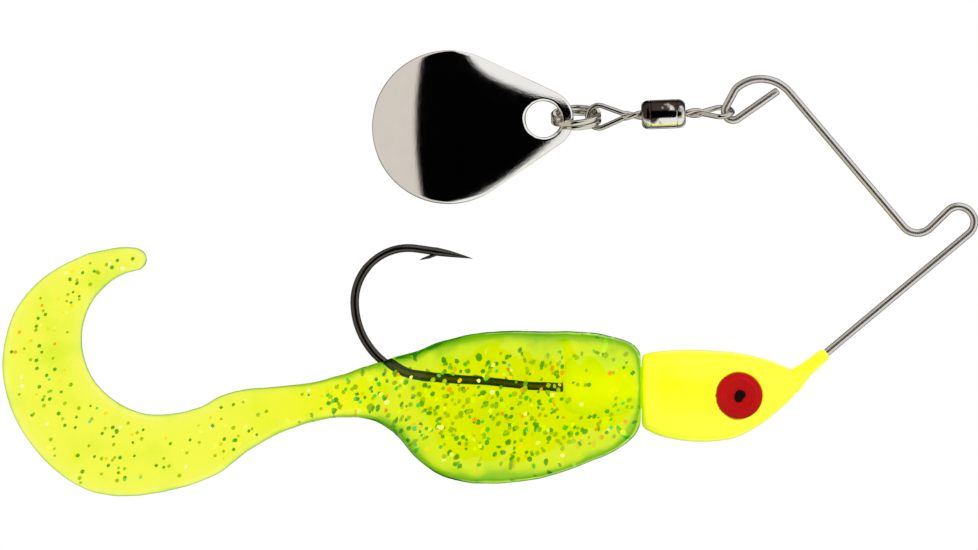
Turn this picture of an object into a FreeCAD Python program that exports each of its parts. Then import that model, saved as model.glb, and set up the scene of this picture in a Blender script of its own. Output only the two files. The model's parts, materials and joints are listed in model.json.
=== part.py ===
import FreeCAD, Part
import math
import os

# A spinnerbait in its swimming attitude, in millimetres. +X points to the nose, +Z is up,
# +Y is the far side. The origin is the centre of the line-tie bend in the wire.

# Wire frame
WIRE_DIA = 0.62
TIE_BEND_R = 1.22
TIE_TURN = 184.1
LOWER_ARM_ANGLE = 39.9
NOSE_FROM_TIE = 17.77
WIRE_IN_HEAD = 1.43
VALLEY_LEG = 1.94
VALLEY_BEND_R = 1.45
VALLEY_TURN = 93.7
UPPER_ARM_LEN = 13.9
LOOP_SHOULDER_R = 2.9
LOOP_SHOULDER_TURN = 81.7
LOOP_TOP_LEN = 0.2
LOOP_CORNER_R = 1.2
LOOP_CORNER_TURN = 30.0
LOOP_BACK_LEN = 1.42
LOOP_BEND_SLACK = 0.08
LOOP_SWIVEL_TURN = 153.0
LOOP_END_GAP = 0.08

# Head casting, placed by its nose on the lower arm
HEAD_LEN = 12.1
HEAD_HEIGHT = 7.24
HEAD_WIDTH = 5.9
NOSE_DROP = 0.37
NOSE_RISE = 0.6
SLEEVE_DIA_HEAD = 1.7
SLEEVE_DIA_TIP = 1.02
SLEEVE_LEN = 3.55
SLEEVE_IN_HEAD = 0.43

# Collar that the soft body is pushed onto
KEEPER_DIA = 4.5
KEEPER_LEN = 5.3
KEEPER_GAP = 0.9
KEEPER_NECK_DIA = 3.2
KEEPER_RISE = 0.35

# Painted eyes, one on each cheek
EYE_DIA = 3.65
EYE_RING_DIA = 2.6
EYE_RING_WIDTH = 0.42
EYE_DEEP = 0.8
EYE_THICK = 0.85
EYE_SEAT_CLEAR = 0.02
EYE_FROM_NOSE = 4.5
EYE_DROP = 0.35
PUPIL_DIA = 0.98
PUPIL_OUT = 0.16

# Hook
HOOK_DIA = 0.68
HOOK_SHANK_TILT = 4.0
HOOK_SHANK_LEN = 25.3
HOOK_EYE_R = 0.95
HOOK_EYE_FROM_NOSE = 3.9
HOOK_EYE_DROP = 0.75
HOOK_LOWER_BEND_R = 6.0
HOOK_UPPER_BEND_R = 4.25
HOOK_POINT_DIP = 8.5
HOOK_SPEAR_LEN = 1.4
HOOK_POINT_LEN = 3.1
HOOK_TIP_DIA = 0.08
BARB_LEN = 1.5
BARB_DEPTH = 0.9
BARB_THICK = 0.34

# Soft body
GRUB_FRONT_GAP = 0.05
GRUB_LEN = 23.6
GRUB_HEIGHT = 12.1
GRUB_WIDTH = 6.8
GRUB_DROP = 1.27
TAIL_ROOT_DIA = 2.4
TAIL_ROOT_HEIGHT = 3.4
TAIL_ROOT_DROP = 0.35
TAIL_JOINT_GAP = 0.15
TAIL_KNUCKLE_HEIGHT = 3.2
TAIL_THICK = 1.3

# Curl of the tail, measured back and up from the middle of its root
CURL_OUTER = [(-5.4, -2.85), (-7.5, -4.6), (-10.6, -6.55), (-14.9, -7.95), (-19.1, -7.1),
              (-23.8, -3.4), (-25.4, 2.4), (-24.3, 7.3), (-21.3, 10.6), (-17.0, 12.2)]
CURL_INNER = [(-15.7, 10.1), (-18.0, 8.5), (-19.3, 6.7), (-20.05, 4.0), (-19.1, 0.6),
              (-17.2, -1.2), (-15.0, -1.95), (-11.2, -1.5), (-8.4, -0.1), (-4.4, 0.9)]
CURL_TIP = (-15.25, 11.3)

# Barrel swivel
SWIVEL_TILT = 2.2
SWIVEL_CLEAR = 0.05
EYE_WIRE_DIA = 0.42
EYE_SLACK = 0.065
FRONT_EYE_LEN = 2.55
REAR_EYE_LEN = 3.0
FRONT_NECK_LEN = 1.35
REAR_NECK_LEN = 1.45
FRONT_EYE_ROLL = 65.0
BARREL_DIA = 2.3
BARREL_LEN = 3.45
BARREL_WALL = 0.3
BARREL_LIP = 0.5
BARREL_EDGE_R = 0.42
STRAND_OFFSET = 0.18
KNOB_LEN = 0.6

# Split ring and blade
RING_DIA = 4.0
RING_WALL = 0.48
RING_COIL = 0.44
RING_COIL_GAP = 0.02
RING_ROLL = -20.0
RING_EYE_CLEAR = 0.06
BLADE_ROUND_R = 6.06
BLADE_TIP_R = 2.4
BLADE_CENTRES = 7.5
BLADE_THICK = 0.4
BLADE_CUP_R = 20.0
BLADE_HOLE_DIA = 2.85
BLADE_RING_CLEAR = 0.32
BLADE_TILT = 4.8

OVERLAP = 0.05
Y_AXIS = FreeCAD.Vector(0, 1, 0)
X_AXIS = FreeCAD.Vector(1, 0, 0)
Z_AXIS = FreeCAD.Vector(0, 0, 1)


def vec(x, y, z):
    return FreeCAD.Vector(x, y, z)


def heading(angle):
    """Unit direction in the XZ plane, anticlockwise from +X as seen from the near side."""
    return vec(math.cos(math.radians(angle)), 0, math.sin(math.radians(angle)))


def bent_path(start, angle, steps):
    """Edges of a path in the XZ plane. A step is a straight length or (radius, turn)."""
    edges = []
    ends = [(start, angle)]
    here = start
    for step in steps:
        if isinstance(step, tuple):
            radius, turn = step
            side = 90.0 if turn > 0 else -90.0
            centre = here + heading(angle + side) * radius
            middle = centre - heading(angle + turn / 2 + side) * radius
            there = centre - heading(angle + turn + side) * radius
            edges.append(Part.Arc(here, middle, there).toShape())
            angle += turn
        else:
            there = here + heading(angle) * step
            edges.append(Part.LineSegment(here, there).toShape())
        here = there
        ends.append((here, angle))
    return edges, ends


def rod(edges, diameter):
    """A round wire along tangent edges."""
    first = edges[0]
    at = first.valueAt(first.FirstParameter)
    along = first.tangentAt(first.FirstParameter)
    circle = Part.Wire([Part.Circle(at, along, diameter / 2).toShape()])
    return Part.Wire(edges).makePipeShell([circle], True, False)


def frustum(at, along, length, dia_1, dia_2):
    return Part.makeCone(dia_1 / 2, dia_2 / 2, length, at, along)


def oval(x, mid_z, half_height, half_width):
    """A closed oval in a plane across X."""
    if half_height >= half_width:
        arc = Part.Ellipse(vec(x, 0, mid_z + half_height), vec(x, half_width, mid_z),
                           vec(x, 0, mid_z))
    else:
        arc = Part.Ellipse(vec(x, half_width, mid_z), vec(x, 0, mid_z + half_height),
                           vec(x, 0, mid_z))
    return Part.Wire([arc.toShape()])


# Wire frame: lower arm, line tie, valley, upper arm and swivel loop, all in one bent wire

def tie_start():
    return heading(LOWER_ARM_ANGLE - 90) * TIE_BEND_R


def lower_arm_point(distance):
    """A point on the lower arm, this far back from the line tie."""
    return tie_start() - heading(LOWER_ARM_ANGLE) * distance


def nose():
    """Where the lower arm meets the nose of the head."""
    return lower_arm_point(NOSE_FROM_TIE)


def head_back_x():
    return nose().x - HEAD_LEN


def head_mid_z():
    """Mid height of the head's back face."""
    return nose().z - NOSE_DROP - NOSE_RISE


def loop_bend_r():
    """The loop's tight bend, wide enough for the rolled swivel eye's slanting wire inside it."""
    slanted = EYE_WIRE_DIA / 2 / math.sin(math.radians(FRONT_EYE_ROLL))
    return WIRE_DIA / 2 + slanted + SWIVEL_CLEAR + LOOP_BEND_SLACK


def loop_return_len(ends):
    """Length of the loop's last leg, which stops just short of the shoulder bend."""
    start, angle = ends[5]
    centre = start + heading(angle + 90) * LOOP_SHOULDER_R
    room = LOOP_SHOULDER_R - WIRE_DIA / 2 - LOOP_END_GAP
    here, angle = ends[-1]
    reach = []
    for side in (-WIRE_DIA / 2, WIRE_DIA / 2):
        offset = here + heading(angle + 90) * side - centre
        ahead = offset.dot(heading(angle))
        reach.append(math.sqrt(ahead ** 2 - offset.dot(offset) + room ** 2) - ahead)
    return min(reach)


def wire_path():
    arm = NOSE_FROM_TIE + WIRE_IN_HEAD
    steps = [
        arm,
        (TIE_BEND_R, TIE_TURN),
        VALLEY_LEG,
        (VALLEY_BEND_R, -VALLEY_TURN),
        UPPER_ARM_LEN,
        (LOOP_SHOULDER_R, LOOP_SHOULDER_TURN),
        LOOP_TOP_LEN,
        (LOOP_CORNER_R, LOOP_CORNER_TURN),
        LOOP_BACK_LEN,
        (loop_bend_r(), LOOP_SWIVEL_TURN),
    ]
    start = lower_arm_point(arm)
    ends = bent_path(start, LOWER_ARM_ANGLE, steps)[1]
    return bent_path(start, LOWER_ARM_ANGLE, steps + [loop_return_len(ends)])


def swivel_pivot():
    """Centre of the swivel eye's wire where it rests in the loop's tight bend."""
    at, angle = wire_path()[1][9]
    centre = at + heading(angle + 90) * loop_bend_r()
    return centre + swivel_axis() * LOOP_BEND_SLACK


def make_wire_frame():
    return rod(wire_path()[0], WIRE_DIA)


# Hook

def hook_shank_start():
    return vec(nose().x - HOOK_EYE_FROM_NOSE, 0, head_mid_z() - HOOK_EYE_DROP)


def hook_path():
    back = 180.0 - HOOK_SHANK_TILT
    steps = [
        HOOK_SHANK_LEN,
        (HOOK_LOWER_BEND_R, -(back - 90.0)),
        (HOOK_UPPER_BEND_R, -(90.0 + HOOK_POINT_DIP)),
        HOOK_SPEAR_LEN,
    ]
    return bent_path(hook_shank_start(), back, steps)


def hook_tip():
    at, angle = hook_path()[1][-1]
    return at + heading(angle) * HOOK_POINT_LEN


def make_hook():
    edges, ends = hook_path()
    shape = rod(edges, HOOK_DIA)
    at, angle = ends[-1]
    point = frustum(at, heading(angle), HOOK_POINT_LEN, HOOK_DIA, HOOK_TIP_DIA)
    under = heading(angle - 90)
    root = at + under * (HOOK_DIA / 4)
    tip = at - heading(angle) * (BARB_LEN * 0.6) + under * (HOOK_DIA / 2 + BARB_DEPTH / 2)
    front = at + heading(angle) * (BARB_LEN * 0.5) + under * (HOOK_DIA / 4)
    outline = Part.makePolygon([root, tip, front, root])
    barb = Part.Face(outline).extrude(Y_AXIS * BARB_THICK)
    barb.translate(Y_AXIS * (-BARB_THICK / 2))
    start = hook_shank_start()
    centre = start - heading(180.0 - HOOK_SHANK_TILT) * HOOK_EYE_R
    eye = Part.makeTorus(HOOK_EYE_R, HOOK_DIA / 2, centre, Y_AXIS)
    return shape.fuse([point, barb, eye]).removeSplitter()


# Head casting with its keeper collar and the sleeve of lead along the wire

def head_sections():
    """(distance forward of the back face, mid height, half height, half width)"""
    tall = HEAD_HEIGHT / 2
    wide = HEAD_WIDTH / 2
    mid = head_mid_z()
    return [
        (0.0, mid, tall * 0.79, wide * 0.8),
        (0.12 * HEAD_LEN, mid - 0.22, tall * 0.93, wide * 0.94),
        (0.41 * HEAD_LEN, mid - 0.41, tall, wide),
        (0.61 * HEAD_LEN, mid - 0.33, tall * 0.935, wide * 0.96),
        (0.8 * HEAD_LEN, mid + 0.06, tall * 0.7, wide * 0.76),
        (HEAD_LEN, mid + NOSE_RISE, tall * 0.26, wide * 0.32),
    ]


def make_head_shell():
    wires = [oval(head_back_x() + x, z, h, w) for x, z, h, w in head_sections()]
    return Part.makeLoft(wires, True, False)


def keeper_axis_z(x):
    start = hook_shank_start()
    return start.z + (start.x - x) * math.tan(math.radians(HOOK_SHANK_TILT))


def make_keeper(grow=0.0):
    """A barrel-shaped collar behind the head on a thinner neck."""
    front = head_back_x() - KEEPER_GAP
    back = front - KEEPER_LEN
    z = keeper_axis_z(front) + KEEPER_RISE
    wide = KEEPER_DIA / 2 + grow
    neck = KEEPER_NECK_DIA / 2 + grow
    stations = [(front + grow, neck), (front - KEEPER_LEN * 0.3, wide),
                (front - KEEPER_LEN * 0.75, wide * 0.97), (back - grow, wide * 0.8)]
    wires = []
    for x, r in stations:
        wires.append(Part.Wire([Part.Circle(vec(x, 0, z), X_AXIS, r).toShape()]))
    collar = Part.makeLoft(wires, True, False)
    reach = KEEPER_GAP + 2 * OVERLAP
    stem = Part.makeCylinder(neck, reach, vec(front - OVERLAP, 0, z), X_AXIS)
    return collar.fuse(stem)


def make_sleeve():
    start = lower_arm_point(NOSE_FROM_TIE + SLEEVE_IN_HEAD)
    along = heading(LOWER_ARM_ANGLE)
    return frustum(start, along, SLEEVE_LEN, SLEEVE_DIA_HEAD, SLEEVE_DIA_TIP)


def eye_centre():
    return vec(nose().x - EYE_FROM_NOSE, 0, head_mid_z() - EYE_DROP)


def eye_seat_y():
    """Distance from the middle plane to the flat floor of the eye seat."""
    return HEAD_WIDTH / 2 - EYE_DEEP


def make_eye_seat(side):
    at = eye_centre() + Y_AXIS * (side * eye_seat_y())
    return Part.makeCylinder(EYE_DIA / 2 + EYE_SEAT_CLEAR, HEAD_WIDTH, at, Y_AXIS * side)


def make_lead_head(hook, wire):
    solid = make_head_shell().fuse([make_keeper(), make_sleeve()])
    tools = [hook, wire, make_eye_seat(1), make_eye_seat(-1)]
    return solid.cut(tools).removeSplitter()


def make_eye(side):
    """A red disc with a raised ring and a dished middle that holds the pupil."""
    top = EYE_THICK
    r = EYE_DIA / 2
    ring = EYE_RING_DIA / 2
    slope = EYE_RING_WIDTH / 2
    pupil = PUPIL_DIA / 2
    points = [vec(0, 0, 0), vec(r, 0, 0), vec(r, top * 0.7, 0), vec(ring + slope, top * 0.86, 0),
              vec(ring, top, 0), vec(ring - slope, top * 0.88, 0), vec(pupil, top * 0.8, 0),
              vec(0, top * 0.8, 0), vec(0, 0, 0)]
    face = Part.Face(Part.makePolygon(points))
    solid = face.revolve(vec(0, 0, 0), Y_AXIS, 360)
    if side < 0:
        solid = solid.mirror(vec(0, 0, 0), Y_AXIS)
    solid.translate(eye_centre() + Y_AXIS * (side * eye_seat_y()))
    return solid


def make_pupil(side):
    floor = EYE_THICK * 0.8
    at = eye_centre() + Y_AXIS * (side * (eye_seat_y() + floor))
    disc = frustum(at, Y_AXIS * side, PUPIL_OUT, PUPIL_DIA, PUPIL_DIA * 0.7)
    return disc


# Soft body and its curly tail

def tail_root_z():
    return head_mid_z() - TAIL_ROOT_DROP


def grub_sections():
    """(distance behind the front face, mid height, half height, half width)"""
    tall = GRUB_HEIGHT / 2
    wide = GRUB_WIDTH / 2
    mid = head_mid_z() - GRUB_DROP
    root = TAIL_ROOT_HEIGHT / 2
    return [
        (0.0, mid + 1.42, tall * 0.455, wide * 0.72),
        (0.1 * GRUB_LEN, mid + 0.97, tall * 0.76, wide * 0.92),
        (0.3 * GRUB_LEN, mid + 0.27, tall * 0.955, wide),
        (0.5 * GRUB_LEN, mid, tall, wide),
        (0.7 * GRUB_LEN, mid + 0.02, tall * 0.835, wide * 0.84),
        (0.86 * GRUB_LEN, tail_root_z() + 0.25, root * 1.42, wide * 0.5),
        (GRUB_LEN, tail_root_z(), root, TAIL_ROOT_DIA / 2),
    ]


def grub_front_x():
    return head_back_x() - GRUB_FRONT_GAP


def tail_pivot():
    x = grub_front_x() - GRUB_LEN - TAIL_ROOT_DIA / 2 - TAIL_JOINT_GAP
    return vec(x, 0, tail_root_z())


def make_grub_body(hook, head):
    wires = [oval(grub_front_x() - x, z, h, w) for x, z, h, w in grub_sections()]
    solid = Part.makeLoft(wires, True, False)
    return solid.cut([hook, head]).removeSplitter()


def curl_outline():
    pivot = tail_pivot()
    root = TAIL_KNUCKLE_HEIGHT / 2

    def at(point):
        return vec(pivot.x + point[0], 0, pivot.z + point[1])

    low = vec(pivot.x, 0, pivot.z - root)
    high = vec(pivot.x, 0, pivot.z + root)
    outer = Part.BSplineCurve()
    outer.interpolate([low] + [at(p) for p in CURL_OUTER])
    inner = Part.BSplineCurve()
    inner.interpolate([at(p) for p in CURL_INNER] + [high])
    tip = Part.Arc(at(CURL_OUTER[-1]), at(CURL_TIP), at(CURL_INNER[0]))
    closing = Part.LineSegment(high, low)
    return Part.Wire([c.toShape() for c in (outer, tip, inner, closing)])


def make_grub_tail():
    ribbon = Part.Face(curl_outline()).extrude(Y_AXIS * TAIL_THICK)
    ribbon.translate(Y_AXIS * (-TAIL_THICK / 2))
    low = tail_pivot() - Z_AXIS * (TAIL_KNUCKLE_HEIGHT / 2)
    knuckle = Part.makeCylinder(TAIL_ROOT_DIA / 2, TAIL_KNUCKLE_HEIGHT, low, Z_AXIS)
    return ribbon.fuse(knuckle).removeSplitter()


# Barrel swivel: a hollow barrel that traps the headed stems of two wire eyes

def swivel_axis():
    """Direction from the wire loop back along the swivel."""
    return heading(180.0 + SWIVEL_TILT)


def front_eye_neck():
    """Where the front eye's strands meet, on the swivel's axis."""
    return swivel_pivot() + swivel_axis() * (FRONT_EYE_LEN - EYE_WIRE_DIA / 2)


def barrel_front():
    return front_eye_neck() + swivel_axis() * FRONT_NECK_LEN


def barrel_back():
    return barrel_front() + swivel_axis() * BARREL_LEN


def rear_eye_neck():
    return barrel_back() + swivel_axis() * REAR_NECK_LEN


def rear_eye_tip():
    """Centre of the rear eye's wire at its far end."""
    return rear_eye_neck() + swivel_axis() * (REAR_EYE_LEN - EYE_WIRE_DIA / 2)


def to_world(shape, at, along_angle, roll):
    """Turn a shape drawn along +X: roll it about X, then aim X in the XZ plane."""
    shape.rotate(vec(0, 0, 0), X_AXIS, roll)
    shape.rotate(vec(0, 0, 0), Y_AXIS, -along_angle)
    shape.translate(at)
    return shape


def ring_half_height():
    """Half the height that the tilted ring takes up inside a swivel eye."""
    turn = math.radians(abs(RING_ROLL))
    coils = (RING_COIL + RING_COIL_GAP / 2) / math.cos(turn)
    return coils + EYE_WIRE_DIA / 2 * math.tan(turn) + RING_EYE_CLEAR


def eye_bend_r():
    return ring_half_height() + EYE_SLACK + EYE_WIRE_DIA / 2


def ring_seat():
    """How far inside the rear eye's wire the ring's wall stays clear of the round end."""
    inner = eye_bend_r() - EYE_WIRE_DIA / 2
    return eye_bend_r() - math.sqrt(inner ** 2 - ring_half_height() ** 2)


def stem_dia():
    """The two strands of an eye's shank, side by side."""
    return 2 * EYE_WIRE_DIA


def make_swivel_eye(length, neck, roll, at, along_angle):
    """An eye drawn with its strands meeting at the origin and its loop towards +X."""
    r = eye_bend_r()
    centre = length - EYE_WIRE_DIA / 2 - r
    spread = STRAND_OFFSET
    reach = math.hypot(centre, spread)
    lean = math.degrees(math.asin(r / reach) - math.atan2(spread, centre))
    run = math.sqrt(reach * reach - r * r)
    steps = [run, (r, -(180.0 + 2 * lean)), run]
    loop = rod(bent_path(vec(0, 0, spread), lean, steps)[0], EYE_WIRE_DIA)
    stem_end = neck + BARREL_LIP + SWIVEL_CLEAR + KNOB_LEN
    stem = Part.makeCylinder(stem_dia() / 2, stem_end + EYE_WIRE_DIA / 2,
                             vec(EYE_WIRE_DIA / 2, 0, 0), -X_AXIS)
    knob_at = vec(-neck - BARREL_LIP - SWIVEL_CLEAR, 0, 0)
    knob_r = BARREL_DIA / 2 - BARREL_WALL - SWIVEL_CLEAR
    knob = Part.makeCylinder(knob_r, KNOB_LEN, knob_at, -X_AXIS)
    eye = loop.fuse([stem, knob]).removeSplitter()
    return to_world(eye, at, along_angle, roll)


def make_barrel():
    outer = Part.makeCylinder(BARREL_DIA / 2, BARREL_LEN)
    outer = outer.makeFillet(BARREL_EDGE_R, [e for e in outer.Edges if len(e.Vertexes) == 1])
    bore_r = stem_dia() / 2 + SWIVEL_CLEAR
    bore = Part.makeCylinder(bore_r, BARREL_LEN + 2, vec(0, 0, -1))
    chamber = Part.makeCylinder(BARREL_DIA / 2 - BARREL_WALL, BARREL_LEN - 2 * BARREL_LIP,
                                vec(0, 0, BARREL_LIP))
    barrel = outer.cut([bore, chamber])
    barrel.rotate(vec(0, 0, 0), Y_AXIS, 90)
    return to_world(barrel, barrel_front(), 180.0 + SWIVEL_TILT, 0)


# Split ring and blade

def ring_centre():
    inner = RING_DIA / 2 - RING_WALL
    return rear_eye_tip() + swivel_axis() * (inner - ring_seat())


def ring_normal():
    turn = math.radians(RING_ROLL)
    up = heading(90.0 + SWIVEL_TILT)
    return up * math.cos(turn) + Y_AXIS * math.sin(turn)


def make_split_ring():
    """Two flat coils, one on the other, joined where the wire steps across."""
    coils = []
    for side in (-1, 1):
        low = side * (RING_COIL_GAP / 2) if side > 0 else -RING_COIL_GAP / 2 - RING_COIL
        disc = Part.makeCylinder(RING_DIA / 2, RING_COIL, vec(0, 0, low))
        hole = Part.makeCylinder(RING_DIA / 2 - RING_WALL, RING_COIL, vec(0, 0, low))
        coils.append(disc.cut(hole))
    step = Part.makeBox(RING_WALL, RING_COIL, RING_COIL_GAP + 2 * OVERLAP)
    step.translate(vec(-RING_WALL / 2, RING_DIA / 2 - RING_WALL, -RING_COIL_GAP / 2 - OVERLAP))
    keep = Part.makeCylinder(RING_DIA / 2, 1, vec(0, 0, -0.5))
    keep = keep.cut(Part.makeCylinder(RING_DIA / 2 - RING_WALL, 1, vec(0, 0, -0.5)))
    ring = coils[0].fuse([coils[1], step.common(keep)]).removeSplitter()
    ring.rotate(vec(0, 0, 0), X_AXIS, -RING_ROLL)
    ring.rotate(vec(0, 0, 0), Y_AXIS, -SWIVEL_TILT)
    ring.translate(ring_centre())
    return ring


def blade_pivot():
    """Centre of the ring's section at its far end, where the blade hangs."""
    return ring_centre() + swivel_axis() * (RING_DIA / 2 - RING_WALL / 2)


def blade_apex_x():
    """Where the cup is deepest, measured from the hole's centre."""
    return (BLADE_TIP_R - BLADE_CENTRES - BLADE_ROUND_R) / 2


def blade_sag(x):
    """How far the cup rises from its deepest point, this far along the blade."""
    return BLADE_CUP_R - math.sqrt(BLADE_CUP_R ** 2 - (x - blade_apex_x()) ** 2)


def blade_rim_x():
    """Middle of the metal between the hole and the tip."""
    return (BLADE_HOLE_DIA / 2 + BLADE_TIP_R) / 2


def ring_bow():
    """How far the ring's inner curve comes forward where the cupped blade crosses it."""
    inner = RING_DIA / 2 - RING_WALL
    offset = blade_sag(blade_rim_x()) - blade_sag(BLADE_HOLE_DIA / 2) + BLADE_THICK / 2
    return inner - math.sqrt(inner ** 2 - offset ** 2)


def make_blade():
    """A teardrop cut from a spherical cup, drawn with its hole's centre at the origin."""
    big = vec(-BLADE_CENTRES, 0, 0)
    lean = math.asin((BLADE_ROUND_R - BLADE_TIP_R) / BLADE_CENTRES)

    def on(centre, radius, angle):
        return centre + vec(math.cos(angle), 0, math.sin(angle)) * radius

    quarter = math.pi / 2
    up = quarter - lean
    top_1 = on(big, BLADE_ROUND_R, up)
    low_1 = on(big, BLADE_ROUND_R, -up)
    top_2 = on(vec(0, 0, 0), BLADE_TIP_R, up)
    low_2 = on(vec(0, 0, 0), BLADE_TIP_R, -up)
    outline = Part.Wire([
        Part.Arc(top_1, big - X_AXIS * BLADE_ROUND_R, low_1).toShape(),
        Part.LineSegment(low_1, low_2).toShape(),
        Part.Arc(low_2, X_AXIS * BLADE_TIP_R, top_2).toShape(),
        Part.LineSegment(top_2, top_1).toShape(),
    ])
    deep = BLADE_CUP_R
    prism = Part.Face(outline).extrude(Y_AXIS * deep)
    prism.translate(Y_AXIS * (-deep / 2))
    hole = Part.makeCylinder(BLADE_HOLE_DIA / 2, deep, -Y_AXIS * (deep / 2), Y_AXIS)
    centre = vec(blade_apex_x(), BLADE_CUP_R - blade_sag(blade_rim_x()), 0)
    shell = Part.makeSphere(BLADE_CUP_R + BLADE_THICK / 2, centre)
    shell = shell.cut(Part.makeSphere(BLADE_CUP_R - BLADE_THICK / 2, centre))
    blade = shell.common(prism).cut(hole)
    near = [s for s in blade.Solids if s.CenterOfMass.y < centre.y]
    return near[0]


def place_blade():
    blade = make_blade()
    blade.rotate(vec(0, 0, 0), Y_AXIS, -BLADE_TILT)
    reach = BLADE_HOLE_DIA / 2 - RING_WALL / 2 - ring_bow() - BLADE_RING_CLEAR
    blade.translate(blade_pivot() - heading(BLADE_TILT) * reach)
    return blade


def main():
    os.makedirs("parts", exist_ok=True)
    wire = make_wire_frame()
    hook = make_hook()
    head = make_lead_head(hook, wire)
    nodes = {
        "wire_frame": wire,
        "hook": hook,
        "lead_head": head,
        "eye_left": make_eye(1),
        "eye_right": make_eye(-1),
        "pupil_left": make_pupil(1),
        "pupil_right": make_pupil(-1),
        "grub_body": make_grub_body(hook, head),
        "grub_tail": make_grub_tail(),
        "swivel_front_eye": make_swivel_eye(FRONT_EYE_LEN, FRONT_NECK_LEN, FRONT_EYE_ROLL,
                                            front_eye_neck(), SWIVEL_TILT),
        "swivel_barrel": make_barrel(),
        "swivel_rear_eye": make_swivel_eye(REAR_EYE_LEN, REAR_NECK_LEN, 0.0,
                                           rear_eye_neck(), 180.0 + SWIVEL_TILT),
        "split_ring": make_split_ring(),
        "blade": place_blade(),
    }
    for name, shape in nodes.items():
        box = shape.BoundBox
        print("%-18s solids %d valid %s vol %.3f  x %.2f..%.2f y %.2f..%.2f z %.2f..%.2f" % (
            name, len(shape.Solids), shape.isValid(), shape.Volume,
            box.XMin, box.XMax, box.YMin, box.YMax, box.ZMin, box.ZMax))
        shape.exportStep("parts/%s.step" % name)
    for name, point in (("swivel_pivot", swivel_pivot()), ("barrel_front", barrel_front()),
                        ("rear_eye_neck", rear_eye_neck()), ("rear_eye_tip", rear_eye_tip()),
                        ("ring_centre", ring_centre()), ("ring_normal", ring_normal()),
                        ("blade_pivot", blade_pivot()), ("tail_pivot", tail_pivot()),
                        ("swivel_axis", swivel_axis()),
                        ("hook_tip", hook_tip())):
        print("%-14s %.4f %.4f %.4f" % (name, point.x, point.y, point.z))


main()
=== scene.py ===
import json
import math
import random

import bmesh
import bpy
from mathutils import Matrix, Vector, noise
from mathutils.bvhtree import BVHTree


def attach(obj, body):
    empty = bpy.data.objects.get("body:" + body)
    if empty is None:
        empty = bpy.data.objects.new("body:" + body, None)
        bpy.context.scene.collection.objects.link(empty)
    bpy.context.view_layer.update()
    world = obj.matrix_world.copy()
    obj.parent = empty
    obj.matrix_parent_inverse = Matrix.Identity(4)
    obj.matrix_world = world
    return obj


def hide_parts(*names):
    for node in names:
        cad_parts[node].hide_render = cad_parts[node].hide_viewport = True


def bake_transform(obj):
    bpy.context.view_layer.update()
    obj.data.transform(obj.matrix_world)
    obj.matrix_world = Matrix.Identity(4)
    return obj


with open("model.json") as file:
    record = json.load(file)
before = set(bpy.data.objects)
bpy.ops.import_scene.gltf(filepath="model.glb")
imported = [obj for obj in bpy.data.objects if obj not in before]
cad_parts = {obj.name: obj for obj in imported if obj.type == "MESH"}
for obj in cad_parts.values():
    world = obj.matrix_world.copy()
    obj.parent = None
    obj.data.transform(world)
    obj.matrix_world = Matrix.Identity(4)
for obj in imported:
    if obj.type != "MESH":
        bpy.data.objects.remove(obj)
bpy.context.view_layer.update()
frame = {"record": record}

MM = 0.001
JOINTS = {j["name"]: j for j in frame["record"]["behaviour"]["joints"]}


def joint_at(name):
    """A joint's place at rest, in millimetres."""
    return Vector(JOINTS[name]["pos_m"]) / MM


def joint_axis(name):
    return Vector(JOINTS[name]["axis"]).normalized()


# ---------------------------------------------------------------- mesh helpers (millimetres)

def heading(angle):
    a = math.radians(angle)
    return Vector((math.cos(a), 0.0, math.sin(a)))


def bent(start, angle, steps, fine=5.0):
    """Points along straight lengths and (radius, turn) arcs in the XZ plane."""
    here, points = Vector(start), [Vector(start)]
    for step in steps:
        if isinstance(step, tuple):
            radius, turn = step
            side = 90.0 if turn > 0 else -90.0
            centre = here + heading(angle + side) * radius
            count = max(3, int(abs(turn) / fine))
            for i in range(1, count + 1):
                points.append(centre - heading(angle + turn * i / count + side) * radius)
            angle += turn
        else:
            count = max(1, int(step / 0.7))
            for i in range(1, count + 1):
                points.append(here + heading(angle) * (step * i / count))
        here = points[-1].copy()
    return points, angle


def spline(points, per=8):
    """A smooth curve through points (Catmull-Rom, any number of coordinates)."""
    out = []
    n = len(points)
    for i in range(n - 1):
        p0, p1, p2, p3 = (points[max(0, min(n - 1, i + k))] for k in (-1, 0, 1, 2))
        for s in range(per):
            t = s / per
            out.append([0.5 * (2 * b + (c - a) * t + (2 * a - 5 * b + 4 * c - d) * t * t
                               + (3 * b - a - 3 * c + d) * t ** 3)
                        for a, b, c, d in zip(p0, p1, p2, p3)])
    out.append(list(points[-1]))
    return out


def loft(rings, close_ends=True):
    """Verts and faces of a tube through rings of equal length."""
    verts = [v for ring in rings for v in ring]
    n, faces = len(rings[0]), []
    for i in range(len(rings) - 1):
        for k in range(n):
            a, b = i * n + k, i * n + (k + 1) % n
            faces.append((a, b, b + n, a + n))
    if close_ends:
        for first, ring, flip in ((0, rings[0], True), ((len(rings) - 1) * n, rings[-1], False)):
            centre = sum(ring, Vector()) / n
            verts.append(centre)
            c = len(verts) - 1
            for k in range(n):
                a, b = first + k, first + (k + 1) % n
                faces.append((b, a, c) if flip else (a, b, c))
    return verts, faces


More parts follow.
